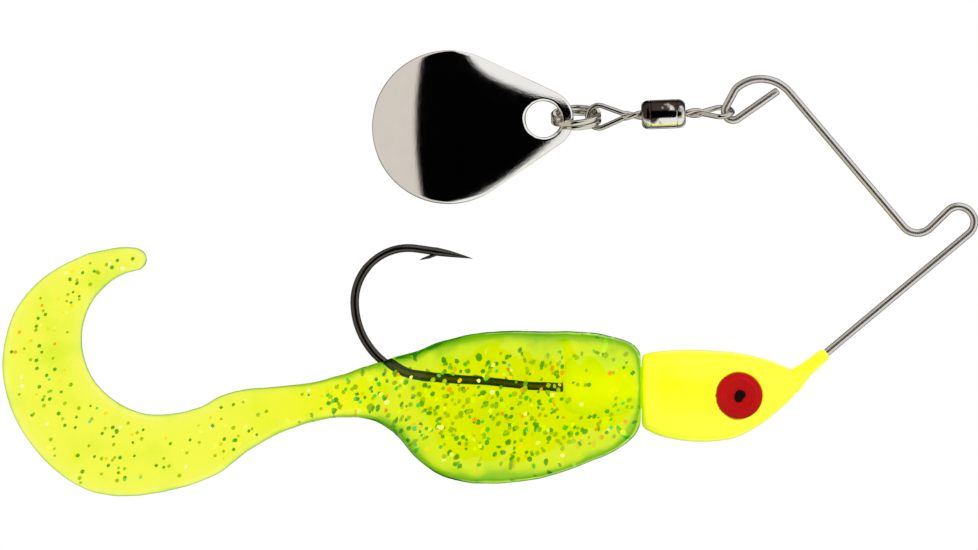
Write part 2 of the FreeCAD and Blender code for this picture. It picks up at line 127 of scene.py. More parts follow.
def tube_rings(points, radius, segments=20, cap=True):
    """Rings of a round wire along points. radius may be a list. Ends are rounded."""
    points = [Vector(p) for p in points]
    n = len(points)
    radii = list(radius) if isinstance(radius, (list, tuple)) else [radius] * n
    tangents = []
    for i in range(n):
        tangents.append((points[min(n - 1, i + 1)] - points[max(0, i - 1)]).normalized())
    up = Vector((0, 1, 0)) if abs(tangents[0].y) < 0.9 else Vector((0, 0, 1))
    side = (up - tangents[0] * up.dot(tangents[0])).normalized()
    frames = []
    for i in range(n):
        side = (side - tangents[i] * side.dot(tangents[i])).normalized()
        frames.append((points[i], tangents[i], side.copy(), radii[i]))
    if cap:
        first, last = frames[0], frames[-1]
        lead = [(first[0] - first[1] * first[3] * 0.45 * s, first[1], first[2], first[3] * r)
                for s, r in ((1.0, 0.35), (0.8, 0.7), (0.4, 0.93))]
        trail = [(last[0] + last[1] * last[3] * 0.45 * s, last[1], last[2], last[3] * r)
                 for s, r in ((0.4, 0.93), (0.8, 0.7), (1.0, 0.35))]
        frames = lead + frames + trail
    rings = []
    for at, along, across, r in frames:
        other = along.cross(across)
        rings.append([at + (across * math.cos(t) + other * math.sin(t)) * r
                      for t in (2 * math.pi * k / segments for k in range(segments))])
    return rings


def tube(points, radius, segments=20, cap=True):
    return loft(tube_rings(points, radius, segments, cap))


def lathe(profile, at, axis, segments=64):
    """Rings of a turned solid, from (distance along the axis, radius) pairs."""
    axis = axis.normalized()
    ref = Vector((0, 0, 1)) if abs(axis.z) < 0.9 else Vector((1, 0, 0))
    a = axis.cross(ref).normalized()
    b = axis.cross(a)
    rings = [[at + axis * s + (a * math.cos(t) + b * math.sin(t)) * r
              for t in (2 * math.pi * k / segments for k in range(segments))]
             for s, r in profile]
    return rings


def merge(*parts):
    verts, faces = [], []
    for v, f in parts:
        base = len(verts)
        verts += v
        faces += [tuple(i + base for i in face) for face in f]
    return verts, faces


def mesh_of(name, data):
    verts, faces = data
    mesh = bpy.data.meshes.new(name)
    mesh.from_pydata([tuple(v) for v in verts], [], faces)
    bm = bmesh.new()
    bm.from_mesh(mesh)
    bmesh.ops.recalc_face_normals(bm, faces=bm.faces)
    bm.to_mesh(mesh)
    bm.free()
    for poly in mesh.polygons:
        poly.use_smooth = True
    return mesh


def place(name, mesh, material, body=None, nodes=()):
    """Scales a mesh from millimetres, links it, and ties it to the frame."""
    mesh.transform(Matrix.Scale(MM, 4))
    obj = bpy.data.objects.new(name, mesh)
    bpy.context.scene.collection.objects.link(obj)
    for m in material if isinstance(material, (list, tuple)) else [material]:
        mesh.materials.append(m)
    if nodes:
        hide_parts(*nodes)
    if body:
        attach(obj, body)
    return obj


def remeshed(name, data, voxel, smoothing):
    """One skin round overlapping parts, smoothed."""
    mesh = mesh_of(name + "_raw", data)
    obj = bpy.data.objects.new(name + "_raw", mesh)
    bpy.context.scene.collection.objects.link(obj)
    mod = obj.modifiers.new("skin", "REMESH")
    mod.mode = "VOXEL"
    mod.voxel_size = voxel
    mod.use_smooth_shade = True
    mod = obj.modifiers.new("smooth", "SMOOTH")
    mod.iterations = smoothing
    mod.factor = 0.5
    graph = bpy.context.evaluated_depsgraph_get()
    out = bpy.data.meshes.new_from_object(obj.evaluated_get(graph))
    out.name = name
    bpy.data.objects.remove(obj)
    bpy.data.meshes.remove(mesh)
    for poly in out.polygons:
        poly.use_smooth = True
    return out


# ---------------------------------------------------------------- materials

def new_material(name):
    mat = bpy.data.materials.new(name)
    mat.use_nodes = True
    nodes, links = mat.node_tree.nodes, mat.node_tree.links
    return mat, nodes, links, nodes["Principled BSDF"]


def noise_node(nodes, links, scale, detail=3.0, rough=0.55, stretch=None):
    coord = nodes.new("ShaderNodeTexCoord")
    tex = nodes.new("ShaderNodeTexNoise")
    tex.inputs["Scale"].default_value = scale
    tex.inputs["Detail"].default_value = detail
    tex.inputs["Roughness"].default_value = rough
    source = coord.outputs["Object"]
    if stretch:
        mapping = nodes.new("ShaderNodeMapping")
        mapping.inputs["Scale"].default_value = stretch
        links.new(source, mapping.inputs["Vector"])
        source = mapping.outputs["Vector"]
    links.new(source, tex.inputs["Vector"])
    return tex


def ramp(nodes, links, source, low, high, a=0.3, b=0.7):
    r = nodes.new("ShaderNodeMapRange")
    r.inputs["From Min"].default_value = a
    r.inputs["From Max"].default_value = b
    r.inputs["To Min"].default_value = low
    r.inputs["To Max"].default_value = high
    links.new(source, r.inputs["Value"])
    return r.outputs["Result"]


def colour_mix(nodes, links, factor, one, two):
    m = nodes.new("ShaderNodeMix")
    m.data_type = "RGBA"
    m.inputs["A"].default_value = (*one, 1)
    m.inputs["B"].default_value = (*two, 1)
    links.new(factor, m.inputs["Factor"])
    return m.outputs["Result"]


def bump(nodes, links, height, distance, strength=1.0):
    b = nodes.new("ShaderNodeBump")
    b.inputs["Strength"].default_value = strength
    b.inputs["Distance"].default_value = distance
    links.new(height, b.inputs["Height"])
    return b.outputs["Normal"]


def metal(name, light, dark, rough, grain_scale, grain_depth, rough_swing=0.06,
          stretch=None):
    mat, nodes, links, shader = new_material(name)
    shader.inputs["Metallic"].default_value = 1.0
    fine = noise_node(nodes, links, grain_scale, 2.0, 0.6, stretch)
    broad = noise_node(nodes, links, grain_scale * 0.12, 3.0, 0.5, stretch)
    links.new(colour_mix(nodes, links, broad.outputs["Fac"], light, dark),
              shader.inputs["Base Color"])
    links.new(ramp(nodes, links, broad.outputs["Fac"], rough - rough_swing / 2,
                   rough + rough_swing / 2), shader.inputs["Roughness"])
    links.new(bump(nodes, links, fine.outputs["Fac"], grain_depth), shader.inputs["Normal"])
    return mat


STEEL = metal("stainless_wire", (0.84, 0.81, 0.77), (0.60, 0.575, 0.54), 0.30, 1400.0,
              0.000003, 0.1, (0.25, 1.0, 1.0))
NICKEL = metal("nickel_plate", (0.66, 0.63, 0.57), (0.40, 0.375, 0.33), 0.17, 1500.0, 0.000004)
RING_METAL = metal("ring_nickel_plate", (0.72, 0.69, 0.62), (0.50, 0.47, 0.40), 0.14, 2200.0,
                   0.000010)
BLADE_METAL = metal("blade_nickel_plate", (0.86, 0.84, 0.81), (0.80, 0.78, 0.75), 0.05, 8000.0,
                    0.0000022, 0.03)
HOOK_METAL = metal("black_nickel", (0.12, 0.108, 0.10), (0.055, 0.05, 0.047), 0.22, 1600.0,
                   0.000004, 0.1)


def plating_with_painted_reflection(name, light, dark, rough, at, up):
    """Bright plating with a painted dark reflection over its upper side, its edge uneven."""
    mat, nodes, links, shader = new_material(name)
    shader.inputs["Metallic"].default_value = 1.0
    shader.inputs["Roughness"].default_value = rough
    coord = nodes.new("ShaderNodeTexCoord")
    height = nodes.new("ShaderNodeVectorMath")
    height.operation = "DOT_PRODUCT"
    height.inputs[1].default_value = up
    offset = nodes.new("ShaderNodeVectorMath")
    offset.operation = "SUBTRACT"
    offset.inputs[1].default_value = at
    links.new(coord.outputs["Object"], offset.inputs[0])
    links.new(offset.outputs["Vector"], height.inputs[0])
    patches = noise_node(nodes, links, 900.0, 4.0, 0.6)
    swing = ramp(nodes, links, patches.outputs["Fac"], -0.0011, 0.0011, 0.3, 0.7)
    total = nodes.new("ShaderNodeMath")
    total.operation = "ADD"
    links.new(height.outputs["Value"], total.inputs[0])
    links.new(swing, total.inputs[1])
    # painted reflection: the base colour turns dark over the upper side, past a plane through at,
    # with a noisy edge
    painted_dark_reflection = ramp(nodes, links, total.outputs[0], 0.0, 1.0, -0.0002, 0.0004)
    links.new(colour_mix(nodes, links, painted_dark_reflection, light, dark), shader.inputs["Base Color"])
    fine = noise_node(nodes, links, 2600.0, 2.0)
    links.new(bump(nodes, links, fine.outputs["Fac"], 0.000004), shader.inputs["Normal"])
    return mat


def paint(name, one, two, rough, painted_glow=0.0, coat=0.4, orange_peel=0.00002):
    mat, nodes, links, shader = new_material(name)
    broad = noise_node(nodes, links, 260.0, 4.0)
    links.new(colour_mix(nodes, links, broad.outputs["Fac"], one, two),
              shader.inputs["Base Color"])
    fine = noise_node(nodes, links, 900.0, 2.0)
    links.new(ramp(nodes, links, fine.outputs["Fac"], rough * 0.8, rough * 1.25),
              shader.inputs["Roughness"])
    links.new(bump(nodes, links, fine.outputs["Fac"], orange_peel), shader.inputs["Normal"])
    shader.inputs["Coat Weight"].default_value = coat
    shader.inputs["Coat Roughness"].default_value = 0.12
    # the paint's emission is painted light: it glows in its own colour though it is no lamp
    if painted_glow:
        shader.inputs["Emission Color"].default_value = (*one, 1)
        shader.inputs["Emission Strength"].default_value = painted_glow
    return mat


# the head paint glows a little in its own colour: painted light
HEAD_PAINT = paint("chartreuse_powder_paint", (0.93, 0.98, 0.004), (0.84, 0.95, 0.004), 0.38,
                   painted_glow=0.22)
# the collar's paint glows more strongly, so the collar shows bright through the soft plastic:
# painted light
KEEPER_PAINT_AND_GLOW = paint("collar_paint_and_painted_glow", (0.95, 0.95, 0.004), (0.90, 0.92, 0.004), 0.5, painted_glow=0.5,
                     coat=0.0)
EYE_PAINT = paint("red_enamel", (0.50, 0.001, 0.001), (0.34, 0.0005, 0.0005), 0.55, coat=0.0)
EYE_PAINT.node_tree.nodes["Principled BSDF"].inputs["Specular IOR Level"].default_value = 0.15
PUPIL_PAINT = paint("black_enamel", (0.004, 0.003, 0.003), (0.01, 0.004, 0.004), 0.6, coat=0.0,
                    orange_peel=0.00001)
PUPIL_PAINT.node_tree.nodes["Principled BSDF"].inputs["Specular IOR Level"].default_value = 0.05


def soft_plastic():
    """Translucent plastisol: clear skin, tinted through its depth, with painted edge shade in its
    colour: green and dark green bands where the skin turns edge-on to the Y axis.
    """
    mat, nodes, links, shader = new_material("chartreuse_plastisol")
    coord = nodes.new("ShaderNodeTexCoord")
    split = nodes.new("ShaderNodeSeparateXYZ")
    links.new(coord.outputs["Normal"], split.inputs[0])
    flat = nodes.new("ShaderNodeMath")
    flat.operation = "ABSOLUTE"
    links.new(split.outputs["Y"], flat.inputs[0])
    waver = noise_node(nodes, links, 260.0, 3.0)
    shifted = nodes.new("ShaderNodeMath")
    shifted.operation = "ADD"
    links.new(flat.outputs[0], shifted.inputs[0])
    links.new(ramp(nodes, links, waver.outputs["Fac"], -0.16, 0.16), shifted.inputs[1])
    # painted edge shade: by how far the skin faces along Y, the colour goes from pale chartreuse
    # face-on to green and dark green bands edge-on
    rim = nodes.new("ShaderNodeValToRGB")
    rim.color_ramp.elements[0].position = 0.12
    rim.color_ramp.elements[0].color = (0.45, 0.97, 0.04, 1)
    rim.color_ramp.elements[1].position = 0.97
    rim.color_ramp.elements[1].color = (0.99, 1.0, 0.62, 1)
    for at, colour in ((0.40, (0.05, 0.30, 0.01, 1)), (0.64, (0.16, 0.48, 0.02, 1)),
                       (0.82, (0.74, 0.92, 0.20, 1))):
        rim.color_ramp.elements.new(at).color = colour
    links.new(shifted.outputs[0], rim.inputs["Fac"])
    place_x = nodes.new("ShaderNodeSeparateXYZ")
    links.new(coord.outputs["Object"], place_x.inputs[0])
    # the body takes the painted edge shade in full, the tail three quarters of it
    body = ramp(nodes, links, place_x.outputs["X"], 0.75, 1.0, -0.056, -0.046)
    tint = nodes.new("ShaderNodeMix")
    tint.data_type = "RGBA"
    tint.inputs["A"].default_value = (0.97, 1.0, 0.62, 1)
    links.new(body, tint.inputs["Factor"])
    links.new(rim.outputs["Color"], tint.inputs["B"])
    links.new(tint.outputs["Result"], shader.inputs["Base Color"])
    shader.inputs["Transmission Weight"].default_value = 1.0
    shader.inputs["IOR"].default_value = 1.38
    wavy = noise_node(nodes, links, 420.0, 3.0)
    links.new(ramp(nodes, links, wavy.outputs["Fac"], 0.04, 0.14), shader.inputs["Roughness"])
    links.new(bump(nodes, links, wavy.outputs["Fac"], 0.00006, 0.6), shader.inputs["Normal"])
    depth = nodes.new("ShaderNodeVolumeAbsorption")
    depth.inputs["Color"].default_value = (0.974, 0.988, 0.0, 1)
    depth.inputs["Density"].default_value = 1700.0
    links.new(depth.outputs["Volume"], nodes["Material Output"].inputs["Volume"])
    return mat


GRUB_PLASTIC = soft_plastic()


def flake_material(name, colour):
    mat, nodes, links, shader = new_material(name)
    tint = noise_node(nodes, links, 700.0, 1.0)
    links.new(colour_mix(nodes, links, tint.outputs["Fac"], colour,
                         tuple(min(1.0, c * 1.5) for c in colour)), shader.inputs["Base Color"])
    shader.inputs["Metallic"].default_value = 0.25
    shader.inputs["Roughness"].default_value = 0.4
    # the chips glow in their own colour: painted light, so they show inside the plastic where
    # little light reaches them
    shader.inputs["Emission Color"].default_value = (*colour, 1)
    shader.inputs["Emission Strength"].default_value = 0.75
    return mat


FLAKES = [
    flake_material("flake_green", (0.10, 0.30, 0.02)),
    flake_material("flake_olive", (0.34, 0.42, 0.02)),
    flake_material("flake_gold", (0.85, 0.58, 0.04)),
    flake_material("flake_orange", (0.85, 0.30, 0.03)),
    flake_material("flake_teal", (0.10, 0.50, 0.40)),
    flake_material("flake_silver", (0.90, 1.0, 0.95)),
]


# ---------------------------------------------------------------- wire frame

WIRE_R = 0.31
TIE_R = 1.22
ARM_ANGLE = 39.9
NOSE_BACK = 17.77
WIRE_IN_HEAD = 1.43
tie_start = heading(ARM_ANGLE - 90) * TIE_R
nose = tie_start - heading(ARM_ANGLE) * NOSE_BACK
wire_points, _ = bent(
    tie_start - heading(ARM_ANGLE) * (NOSE_BACK + WIRE_IN_HEAD), ARM_ANGLE,
    [NOSE_BACK + WIRE_IN_HEAD, (TIE_R, 184.1), 1.94, (1.45, -93.7), 13.9, (2.9, 81.7), 0.2,
     (1.2, 30.0), 1.42, (0.672, 153.0), 3.73], 4.0)
place("wire", mesh_of("wire", tube(wire_points, WIRE_R, 28)), STEEL, "root",
      ["wire_frame"])


# ---------------------------------------------------------------- head, collar and sleeve

HEAD_LEN = 12.1
HEAD_TALL = 7.24 / 2
HEAD_WIDE = 5.9 / 2
head_back = nose.x - HEAD_LEN
head_mid = nose.z - 0.97


def oval_ring(x, mid, tall, wide, power=2.0, count=72):
    ring = []
    for k in range(count):
        t = 2 * math.pi * k / count
        c, s = math.cos(t), math.sin(t)
        ring.append(Vector((x, wide * math.copysign(abs(c) ** (2 / power), c),
                            mid + tall * math.copysign(abs(s) ** (2 / power), s))))
    return ring


def head_stations():
    rows = [
        (0.00, -0.02, 0.70, 0.70), (0.10, -0.02, 0.775, 0.775), (0.45, -0.08, 0.84, 0.84),
        (1.5, -0.22, 0.925, 0.94), (3.2, -0.34, 0.985, 0.99), (5.0, -0.41, 0.995, 0.99),
        (6.6, -0.38, 0.96, 0.965), (7.6, -0.31, 0.91, 0.92), (8.8, -0.12, 0.79, 0.82),
        (9.8, 0.08, 0.665, 0.70), (10.8, 0.30, 0.50, 0.54), (11.6, 0.47, 0.35, 0.40),
        (12.0, 0.56, 0.24, 0.28), (12.1, 0.60, 0.12, 0.14)]
    return spline(rows, 4)


def make_head():
    rings = [oval_ring(head_back + x, head_mid + z, HEAD_TALL * h, HEAD_WIDE * w, 2.15)
             for x, z, h, w in head_stations()]
    body = loft(rings)
    sleeve_start = tie_start - heading(ARM_ANGLE) * (NOSE_BACK + 0.43)
    run = [sleeve_start + heading(ARM_ANGLE) * s for s in (0, 0.6, 1.3, 2.0, 2.8, 3.3, 3.5)]
    sleeve = tube(run, [0.98, 0.80, 0.63, 0.56, 0.53, 0.50, 0.42], 24)
    shank_z = head_mid - 0.75 + (nose.x - 3.9 - head_back + 0.9) * math.tan(math.radians(4.0))
    mid = shank_z + 0.35
    back = head_back - 0.9
    shape = [(0.0, 1.35), (-0.5, 1.95), (-1.5, 2.2), (-3.2, 2.24), (-4.6, 2.1), (-5.1, 1.8),
             (-5.3, 1.45)]
    collar_rings = [oval_ring(back + x, mid - 0.02 * x, r, r) for x, r in spline(shape, 4)]
    collar = loft(collar_rings)
    stem = loft([oval_ring(back + x, mid, 1.55, 1.55) for x in (1.2, 0.6, 0.0, -0.4)])
    return remeshed("head", merge(body, sleeve, collar, stem), 0.11, 6)


EYE_CENTRE = Vector((nose.x - 4.5, 0, head_mid - 0.35))
EYE_SEAT_Y = HEAD_WIDE - 0.8
SEAT_R = 1.85
LIP_WIDE = 0.3
LIP_TALL = 0.06
CHEEK_Y = 1.2


def press_eye_seats(mesh):
    """Flattens the cheeks where the eyes sit, with a low rolled lip."""
    for v in mesh.vertices:
        gap = math.hypot(v.co.x - EYE_CENTRE.x, v.co.z - EYE_CENTRE.z)
        side = math.copysign(1.0, v.co.y)
        if gap < SEAT_R and abs(v.co.y) > CHEEK_Y:
            v.co.y = side * min(abs(v.co.y), EYE_SEAT_Y + 0.02)
        elif gap < SEAT_R + LIP_WIDE and abs(v.co.y) > CHEEK_Y:
            v.co.y += side * LIP_TALL * math.sin((gap - SEAT_R) / LIP_WIDE * math.pi)


head_mesh = make_head()
press_eye_seats(head_mesh)
place("head", head_mesh, [HEAD_PAINT, KEEPER_PAINT_AND_GLOW], "root", ["lead_head"])
# faces behind the head, on the collar, take the more strongly glowing paint: painted light
for poly in head_mesh.polygons:
    poly.material_index = int(poly.center.x < (head_back - 0.25) * MM)

PUPIL_R = 0.44
for side, word in ((1, "left"), (-1, "right")):
    seat = EYE_CENTRE + Vector((0, side * EYE_SEAT_Y, 0))
    profile = spline([(0.02, 0.0), (0.02, 1.2), (0.04, 1.78), (0.30, 1.82), (0.55, 1.80),
                      (0.66, 1.66), (0.70, 1.50), (0.80, 1.36), (0.835, 1.26), (0.78, 1.12),
                      (0.70, 0.95), (0.68, 0.5), (0.675, 0.0)], 4)
    rings = lathe([(s, max(r, 0.004)) for s, r in profile], seat, Vector((0, side, 0)), 72)
    place("eye_disc_" + word, mesh_of("eye_disc_" + word, loft(rings)), EYE_PAINT,
          "root", ["eye_" + word])
    dot = []
    for s, f in ((0.0, 0.9), (0.07, 1.0), (0.12, 0.92), (0.145, 0.7), (0.15, 0.3)):
        ring = []
        for k in range(40):
            t = 2 * math.pi * k / 40
            wob = noise.noise(Vector((math.cos(t) * 0.9 + 3, math.sin(t) * 0.9, 1.7)))
            r = PUPIL_R * f * (1 + 0.30 * wob + 0.10 * math.cos(2 * (t - 0.9)))
            ring.append(seat + Vector((r * math.cos(t), side * (0.665 + s), r * math.sin(t))))
        dot.append(ring)
    place("pupil_dot_" + word, mesh_of("pupil_dot_" + word, loft(dot)), PUPIL_PAINT,
          "root", ["pupil_" + word])


# ---------------------------------------------------------------- hook

HOOK_R = 0.34
EYE_LOOP_R = 0.95
SHANK_ANGLE = 176.0
SHANK_LEN = 25.3
shank_start = Vector((nose.x - 3.9, 0, head_mid - 0.75))
hook_points, hook_angle = bent(
    shank_start, SHANK_ANGLE, [SHANK_LEN, (6.0, -86.0), (4.25, -98.5), 1.2], 3.0)
tip_at = hook_points[-1]
point_run = [(0.35, 0.335), (0.8, 0.31), (1.4, 0.26), (2.0, 0.19), (2.6, 0.11), (3.0, 0.05),
             (3.25, 0.015)]
droop = Vector((0, 0, -0.012))
hook_points += [tip_at + heading(hook_angle) * s + droop * s * s for s, _ in point_run]
hook_radii = [HOOK_R] * (len(hook_points) - len(point_run)) + [r for _, r in point_run]
hook_radii = [r * (0.93 if p.z > -6 and p.x > -46.5 and r == HOOK_R else 1.0)
              for p, r in zip(hook_points, hook_radii)]
eye_loop = [shank_start - heading(SHANK_ANGLE) * EYE_LOOP_R
            + Vector((math.cos(t), 0, math.sin(t))) * EYE_LOOP_R
            for t in (2 * math.pi * k / 40 for k in range(41))]
under = heading(hook_angle - 90)
barb_root = tip_at + heading(hook_angle) * 0.55 + under * 0.08
barb_tip = tip_at - heading(hook_angle) * 0.85 + under * 0.86
barb_mid = barb_root.lerp(barb_tip, 0.5) + under * 0.05
slope = (barb_tip - barb_root).normalized()
across = Vector((0, 1, 0))
other = slope.cross(across)
barb_rings = []
for at, thick, tall in ((barb_root + heading(hook_angle) * 0.7 - under * 0.05, 0.14, 0.05),
                        (barb_root, 0.19, 0.17), (barb_mid, 0.14, 0.13),
                        (barb_root.lerp(barb_tip, 0.82), 0.07, 0.07), (barb_tip, 0.015, 0.012)):
    barb_rings.append([at + across * math.cos(t) * thick + other * math.sin(t) * tall
                       for t in (2 * math.pi * k / 16 for k in range(16))])
place("hook_wire", mesh_of("hook_wire", merge(tube(hook_points, hook_radii, 24),
                                              tube(eye_loop, HOOK_R * 0.9, 16, False),
                                              loft(barb_rings))),
      HOOK_METAL, "root", ["hook"])


# ---------------------------------------------------------------- soft body and curly tail

# (top x, top z, bottom x, bottom z, half width, squareness), from the front face to the tip
GRUB = [
    (-25.05, -10.9, -25.05, -15.4, 2.2, 2.4),
    (-25.12, -10.3, -25.12, -16.0, 2.55, 2.4),
    (-25.45, -9.85, -25.45, -16.7, 2.85, 2.6),
    (-26.1, -9.4, -26.1, -17.35, 3.0, 2.8),
    (-27.2, -9.05, -27.2, -18.1, 3.1, 3.0),
    (-28.6, -8.75, -28.6, -18.7, 3.2, 3.2),
    (-30.6, -8.62, -30.6, -19.5, 3.3, 3.3),
    (-33.0, -8.6, -33.0, -20.2, 3.35, 3.3),
    (-35.5, -8.58, -35.5, -20.55, 3.35, 3.3),
    (-37.6, -8.75, -37.6, -20.6, 3.3, 3.2),
    (-39.4, -9.05, -39.4, -20.4, 3.2, 3.0),
    (-41.0, -9.5, -41.2, -19.75, 3.0, 2.8),
    (-42.4, -10.05, -42.8, -18.5, 2.65, 2.6),
    (-43.7, -10.45, -44.1, -17.0, 2.2, 2.5),
    (-45.2, -10.9, -45.5, -15.9, 1.8, 2.5),
    (-46.9, -11.45, -47.0, -15.45, 1.45, 2.6),
    (-48.8, -12.1, -48.8, -15.4, 1.15, 2.8),
    (-51.0, -12.65, -51.0, -15.8, 0.95, 3.0),
    (-53.5, -12.95, -53.4, -16.6, 0.80, 3.2),
    (-56.2, -13.2, -55.9, -18.0, 0.70, 3.4),
    (-58.1, -13.7, -58.5, -19.9, 0.65, 3.6),
    (-59.8, -14.6, -61.9, -21.1, 0.62, 3.6),
    (-61.9, -15.1, -65.7, -21.6, 0.62, 3.6),
    (-64.0, -15.1, -68.6, -21.1, 0.62, 3.6),
    (-66.1, -14.3, -71.2, -19.5, 0.62, 3.6),
    (-68.0, -12.6, -73.4, -17.0, 0.62, 3.6),
    (-68.9, -10.55, -74.8, -14.2, 0.62, 3.6),
    (-69.0, -8.4, -75.3, -10.9, 0.62, 3.6),
    (-68.3, -6.4, -74.4, -7.2, 0.60, 3.6),
    (-67.0, -4.9, -72.2, -4.5, 0.58, 3.6),
    (-65.7, -4.1, -69.2, -2.75, 0.56, 3.4),
    (-64.9, -3.85, -66.6, -2.1, 0.54, 3.2),
    (-64.4, -3.7, -65.0, -2.0, 0.48, 2.8),
    (-64.05, -3.35, -64.3, -2.25, 0.36, 2.4),
    (-63.93, -3.0, -64.0, -2.6, 0.2, 2.2),
]
GRUB_ROWS = spline(GRUB, 6)


def grub_ring(row, count=64):
    tx, tz, bx, bz, wide, power = row
    top, low = Vector((tx, 0, tz)), Vector((bx, 0, bz))
    mid, half = (top + low) / 2, (top - low) / 2
    ring = []
    for k in range(count):
        t = 2 * math.pi * k / count
        c, s = math.cos(t), math.sin(t)
        y = max(0.03, wide) * math.copysign(abs(c) ** (2 / power), c)
        ring.append(mid + half * math.copysign(abs(s) ** (2 / power), s) + Vector((0, y, 0)))
    return ring


def soften(mesh):
    """Slow swells of a moulded skin, so that its lights aren't ruled lines."""
    for v in mesh.vertices:
        p = v.co
        amount = 0.09 if p.x > -47 else 0.04
        n = noise.noise(p * 0.28) * 0.7 + noise.noise(p * 0.9 + Vector((5, 0, 0))) * 0.3
        v.co.y *= 1.0 - amount * (0.5 + n)
        v.co.z += 0.05 * noise.noise(Vector((p.x * 0.8, 3.0, p.z * 0.15)))


grub_mesh = mesh_of("grub", loft([grub_ring(r) for r in GRUB_ROWS]))
soften(grub_mesh)
grub = place("grub", grub_mesh, GRUB_PLASTIC, None, ["grub_body", "grub_tail"])

FLAKE_COUNT = 900
FLAKE_HALF_THICK = 0.02
FLAKE_MARGIN = 0.02
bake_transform(grub)


def surface_of(mesh):
    return BVHTree.FromPolygons([v.co for v in mesh.vertices],
                                [tuple(p.vertices) for p in mesh.polygons])


def depth_in(surface, point):
    """How far a point lies under a surface, in millimetres. Negative outside it."""
    near, normal, _, _ = surface.find_nearest(point * MM)
    return (near - point * MM).dot(normal) / MM


def make_flakes():
    """Cut glitter through the plastic: small many-sided chips, most lying near the flat."""
    skin, collar = surface_of(grub_mesh), surface_of(head_mesh)
    rng = random.Random(641)
    verts, faces, kinds = [], [], []
    shares = [0] * 7 + [1] * 8 + [2] * 3 + [3] + [4] * 2 + [5] * 3
    lengths = []
    total = 0.0
    for a, b in zip(GRUB_ROWS, GRUB_ROWS[1:]):
        ma = Vector(((a[0] + a[2]) / 2, (a[1] + a[3]) / 2))
        mb = Vector(((b[0] + b[2]) / 2, (b[1] + b[3]) / 2))
        tall = math.hypot(a[0] - a[2], a[1] - a[3])
        deep = 0.55 if a[0] < -50 else 2.1
        total += (mb - ma).length * tall * deep
        lengths.append(total)
    for _ in range(FLAKE_COUNT):
        pick = rng.random() * total
        i = next(k for k, t in enumerate(lengths) if t >= pick)
        row = [x + (y - x) * rng.random() for x, y in zip(GRUB_ROWS[i], GRUB_ROWS[i + 1])]
        tx, tz, bx, bz, wide, power = row
        s = rng.uniform(-1.0, 0.93) ** 3 * 0.25 + rng.uniform(-0.93, 0.93) * 0.75 - 0.05
        room = (1 - abs(s) ** power) ** (1 / power) * wide - 0.1
        if room < 0.12:
            continue
        y = rng.uniform(-1, 1)
        y = math.copysign(abs(y) ** 0.45, y) * room * 0.86
        mid = Vector(((tx + bx) / 2, y, (tz + bz) / 2))
        at = mid + Vector(((tx - bx) / 2, 0, (tz - bz) / 2)) * s
        lean = 0.5 if room < 0.7 else 0.9
        normal = Vector((rng.gauss(0, lean * 0.6), 1.0, rng.gauss(0, lean * 0.6))).normalized()
        one = normal.orthogonal().normalized()
        two = normal.cross(one)
        size = rng.uniform(0.13, 0.20) if tx < -50 else rng.uniform(0.14, 0.26)
        turn = rng.random() * math.pi
        sides = rng.choice((4, 5, 6, 6))
        chip = []
        for lift in (-FLAKE_HALF_THICK, FLAKE_HALF_THICK):
            for k in range(sides):
                t = turn + 2 * math.pi * k / sides
                chip.append(at + (one * math.cos(t) + two * math.sin(t) * 0.82) * size
                            + normal * lift)
        kind = rng.choice(shares)
        if (min(depth_in(skin, p) for p in chip) < FLAKE_MARGIN
                or max(depth_in(collar, p) for p in chip) > -FLAKE_MARGIN):
            continue
        base = len(verts)
        verts += chip
        faces.append(tuple(base + k for k in reversed(range(sides))))
        faces.append(tuple(base + sides + k for k in range(sides)))
        for k in range(sides):
            n = (k + 1) % sides
            faces.append((base + k, base + n, base + sides + n, base + sides + k))
        kinds += [kind] * (sides + 2)
    mesh = bpy.data.meshes.new("glitter")
    mesh.from_pydata([tuple(v) for v in verts], [], faces)
    obj = place("glitter", mesh, FLAKES)
    for poly, kind in zip(mesh.polygons, kinds):
        poly.material_index = kind
    return obj


glitter = make_flakes()
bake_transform(glitter)


# ---------------------------------------------------------------- barrel swivel

AXIS = joint_axis("barrel_spin")
UP = Vector((0, 1, 0)).cross(AXIS).normalized()
if UP.z < 0:
    UP = -UP
EYE_R = 0.21
LOOP_R = 0.89
STRAND = 0.19
FRONT_EYE_LEN, FRONT_NECK_LEN, FRONT_ROLL = 2.55, 1.35, 65.0
REAR_EYE_LEN, REAR_NECK_LEN, REAR_ROLL = 3.0, 1.45, 0.0


def swivel_eye(neck_at, out, roll, length, neck):
    """One wire: up a twisted neck, round the eye and back down."""
    turn = math.radians(roll)
    across = UP * math.cos(turn) + Vector((0, 1, 0)) * math.sin(turn)
    deep = out.cross(across)
    centre = length - EYE_R - LOOP_R
    half = []
    twist = math.pi * 1.15
    for k in range(9):
        f = k / 8
        a = twist * (1 - f)
        s = -(neck + 0.45) * (1 - f)
        half.append((s, STRAND * math.cos(a), STRAND * math.sin(a)))
    lean = math.asin(LOOP_R / math.hypot(centre, 0.2))
    tangent = (centre - LOOP_R * math.sin(lean), LOOP_R * math.cos(lean))
    for f in (0.3, 0.65):
        half.append((tangent[0] * f, STRAND + (tangent[1] - STRAND) * f, 0.0))
    arc = []
    start = math.pi / 2 + lean
    for k in range(15):
        a = start - 2 * start * k / 14
        arc.append((centre + LOOP_R * math.cos(a), LOOP_R * math.sin(a), 0.0))
    other = [(s, -v, -w) for s, v, w in reversed(half)]
    path = [neck_at + out * s + across * v + deep * w for s, v, w in half + arc + other]
    fine = [Vector(p) for p in spline([tuple(p) for p in path], 4)]
    return tube(fine, EYE_R, 18)


